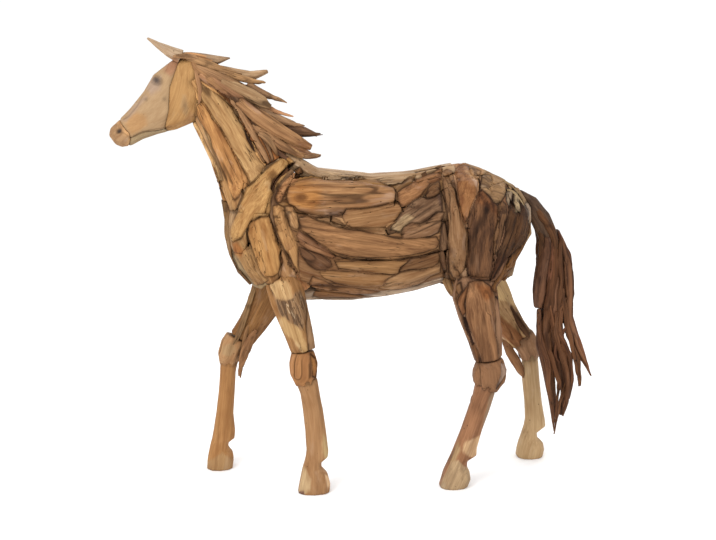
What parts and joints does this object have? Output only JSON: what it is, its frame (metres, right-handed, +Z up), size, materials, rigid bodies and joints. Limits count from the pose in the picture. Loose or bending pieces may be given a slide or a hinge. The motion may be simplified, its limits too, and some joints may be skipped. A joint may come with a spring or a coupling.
{
  "type": "animal sculpture",
  "caption": "Walking horse sculpture built up from driftwood planks, branches and roots, with a shard mane, a root tail and flat hoof soles it stands on",
  "frame": {"origin": "under the middle of the whole horse, on the floor plane of the four soles", "axes": "+X from head to tail, -Y the horse's left side, +Z up"},
  "size_m": [1.478, 0.35, 1.3561],
  "materials": {
    "brown_wood": "mid-brown weathered wood, matte",
    "dark_wood": "dark, weathered root wood, matte",
    "grey_wood": "grey weathered driftwood, matte",
    "orange_wood": "warm orange-brown driftwood, satin",
    "pale_wood": "pale sapwood, dry and matte",
    "tan_wood": "dry, sanded and oiled light driftwood, satin"
  },
  "bodies": {
    "root": {"back_plank": "pale_wood", "barrel_broad_plank_left": "orange_wood", "barrel_broad_plank_right": "orange_wood", "barrel_grey_plank_left": "grey_wood", "barrel_loin_plank_left": "orange_wood", "barrel_long_plank_left": "brown_wood", "barrel_long_plank_right": "brown_wood", "barrel_low_plank_left": "tan_wood", "barrel_short_plank_left": "tan_wood", "belly_plank": "brown_wood", "breast_left": "orange_wood", "buttock_left": "dark_wood", "buttock_right": "dark_wood", "cheek_left": "tan_wood", "chest": "orange_wood", "croup": "pale_wood", "ear_left": "tan_wood", "ear_right": "tan_wood", "elbow_left": "orange_wood", "face": "pale_wood", "flank_strip_left": "tan_wood", "fore_cannon_and_hoof_left": "tan_wood", "fore_cannon_and_hoof_right": "tan_wood", "forearm_left": "pale_wood", "forearm_right": "orange_wood", "gaskin_left": "brown_wood", "gaskin_right": "orange_wood", "girth_strip_left": "tan_wood", "hamstring_left": "dark_wood", "hind_cannon_and_hoof_left": "brown_wood", "hind_cannon_and_hoof_right": "pale_wood", "hip_wedge_left": "orange_wood", "hock_left": "brown_wood", "hock_right": "brown_wood", "knee_left": "orange_wood", "knee_right": "tan_wood", "lower_jaw": "tan_wood", "mane_forelock": "brown_wood", "mane_shard_1": "tan_wood", "mane_shard_2": "tan_wood", "mane_shard_3": "orange_wood", "mane_shard_4": "dark_wood", "mane_shard_5": "tan_wood", "muzzle": "tan_wood", "neck_broad_plank_left": "tan_wood", "neck_broad_plank_right": "tan_wood", "neck_crest_plank_left": "brown_wood", "neck_long_plank_left": "orange_wood", "neck_long_plank_right": "orange_wood", "shoulder_blade_left": "tan_wood", "shoulder_left": "tan_wood", "shoulder_right": "tan_wood", "tail_dock": "dark_wood", "tail_front_root": "dark_wood", "tail_lower_root": "dark_wood", "tail_middle_root": "dark_wood", "tail_outer_root": "brown_wood", "thigh_left": "dark_wood", "thigh_right": "brown_wood", "throat_strip": "tan_wood"}
  },
  "joints": []
}
